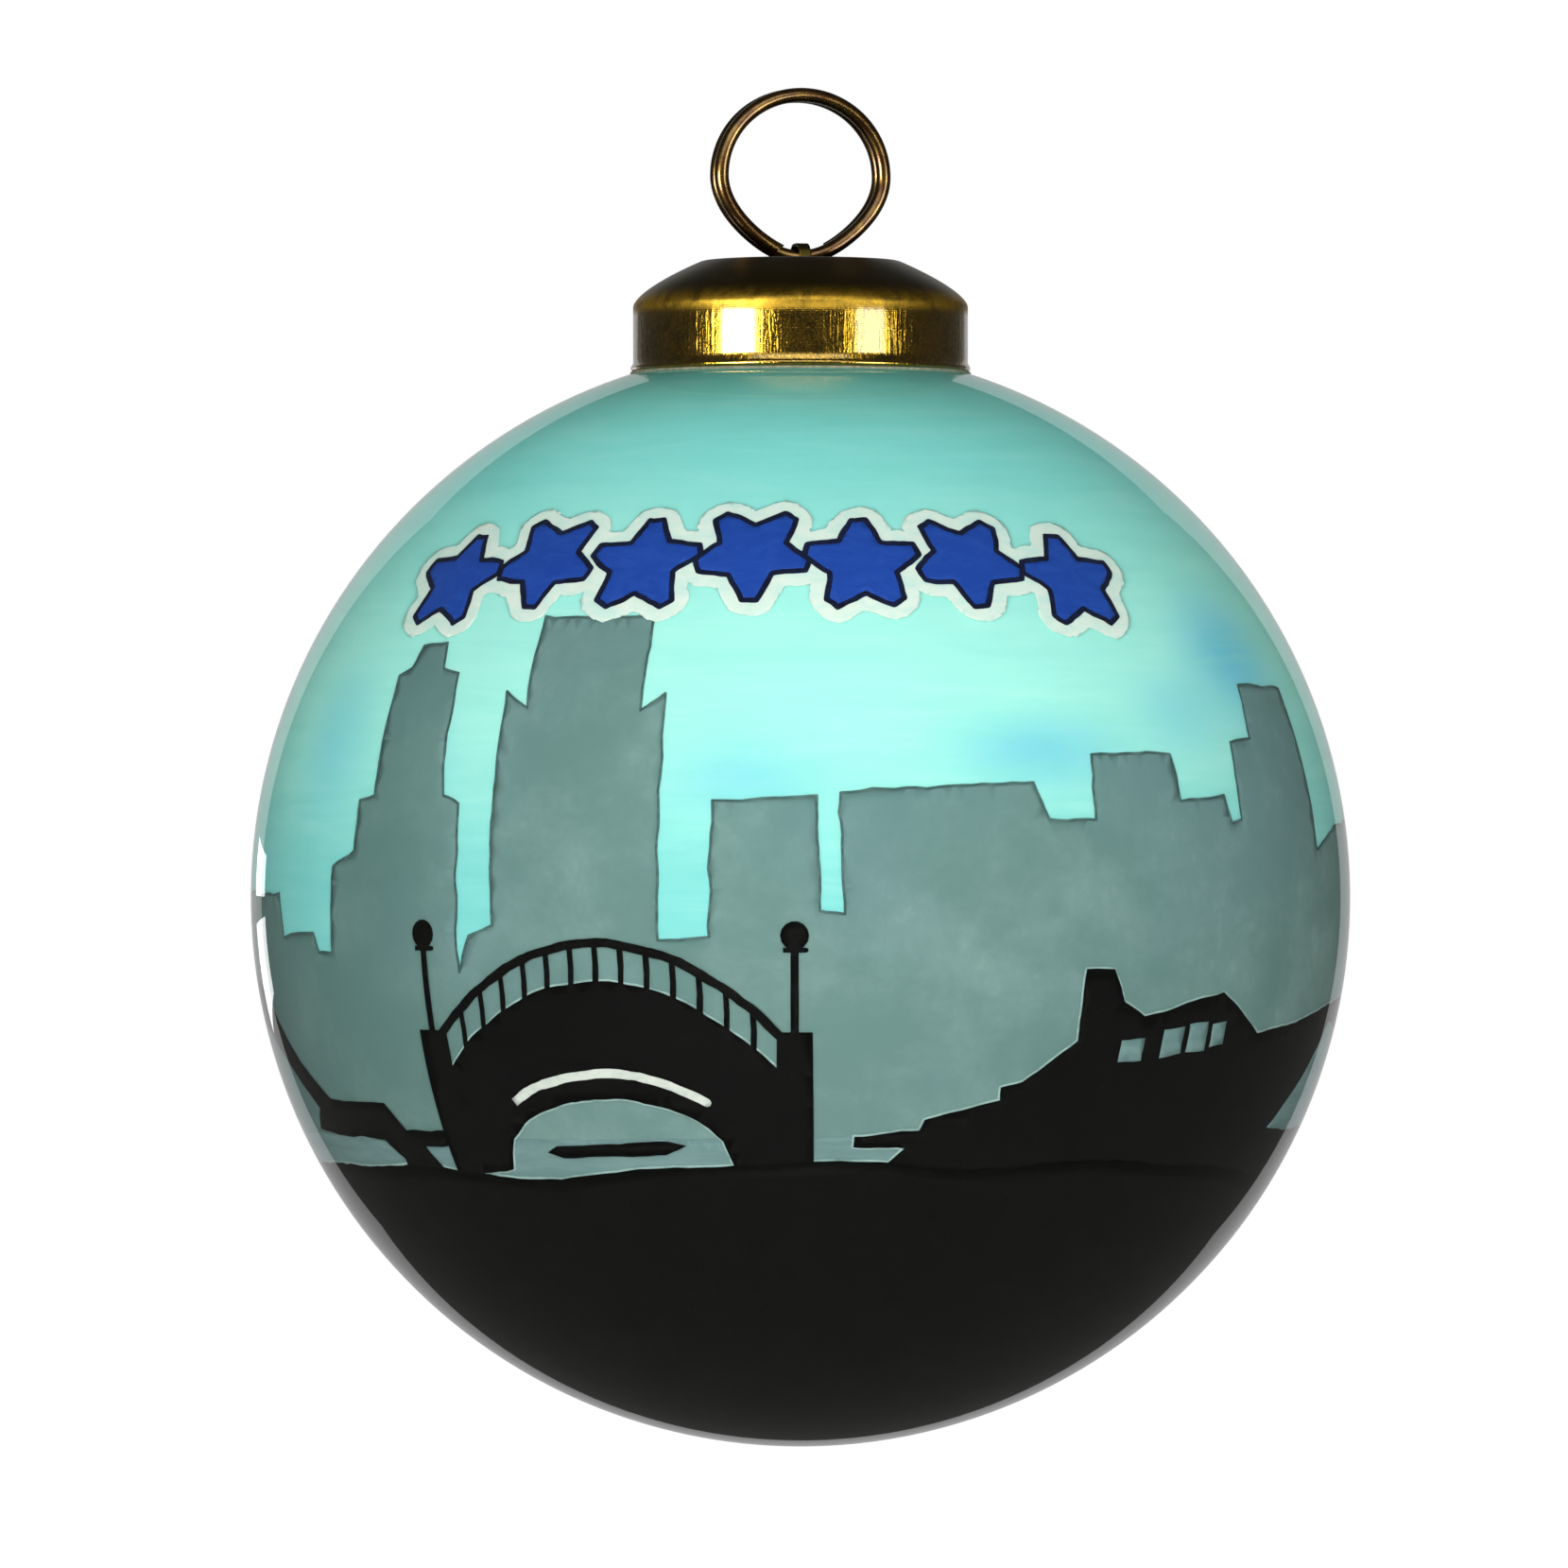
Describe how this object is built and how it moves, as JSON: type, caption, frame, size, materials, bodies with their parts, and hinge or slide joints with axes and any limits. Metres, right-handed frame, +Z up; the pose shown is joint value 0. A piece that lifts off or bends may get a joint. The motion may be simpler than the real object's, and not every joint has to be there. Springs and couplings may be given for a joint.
{
  "type": "hanging glass ball ornament",
  "caption": "Glass ball ornament painted on the inside, with an antique brass cap cemented over its neck and a swinging split ring to hang it by.",
  "frame": {"origin": "the hanging point: the middle of the ring's top, on its underside, where a hook or ribbon bears", "axes": "+Z up along the ball's axis through the neck, -Y out of the front of the painting, +X to the right as the front is seen"},
  "size_m": [0.08, 0.08, 0.0989],
  "materials": {
    "clear_glass": "clear blown glass, fire-polished and glossy",
    "inside_paint": "hand-brushed acrylic film seen through the glass, sky green over grey and black",
    "antique_brass": "antiqued brass plate, dark on the crown and worn to gold at the shoulder",
    "cement": "matt white plaster cement",
    "ring_brass": "bright drawn brass wire, lightly tarnished"
  },
  "bodies": {
    "ring": {"split_ring": "ring_brass"},
    "ball": {"glass_ball": "clear_glass", "painted_coat": "inside_paint", "cap_shell": "antique_brass", "ring_strap": "antique_brass", "cap_cement": "cement"}
  },
  "joints": [
    {"name": "ring_swing", "type": "hinge", "parent": "ring", "child": "ball", "pos_m": [0, 0, -0.01128], "axis": [0.9511, 0.309, 0], "range_deg": [-45, 45]}
  ]
}
